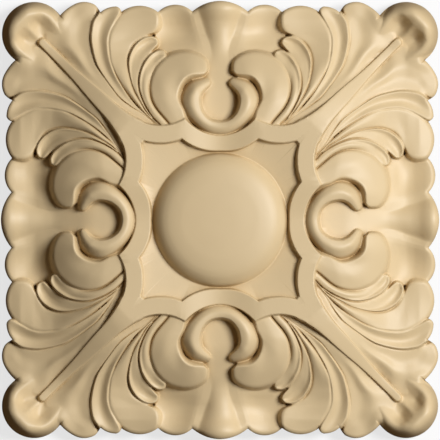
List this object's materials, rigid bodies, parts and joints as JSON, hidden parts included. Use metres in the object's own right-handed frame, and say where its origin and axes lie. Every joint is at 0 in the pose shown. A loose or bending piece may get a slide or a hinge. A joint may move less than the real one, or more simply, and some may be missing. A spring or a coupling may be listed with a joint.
{
  "type": "square corner rosette",
  "caption": "Square carved rosette block with a scalloped leaf border, a strap frame and a plain round boss, fixed by its flat back.",
  "frame": {"origin": "centre of the flat back face", "axes": "+Z out of the carved front, +X and +Y along the sides of the square, +Y up as it is fixed"},
  "size_m": [0.1, 0.1, 0.018],
  "materials": {
    "body": "matt cream paint on carved wood"
  },
  "bodies": {
    "root": {"rosette": "body"}
  },
  "joints": []
}
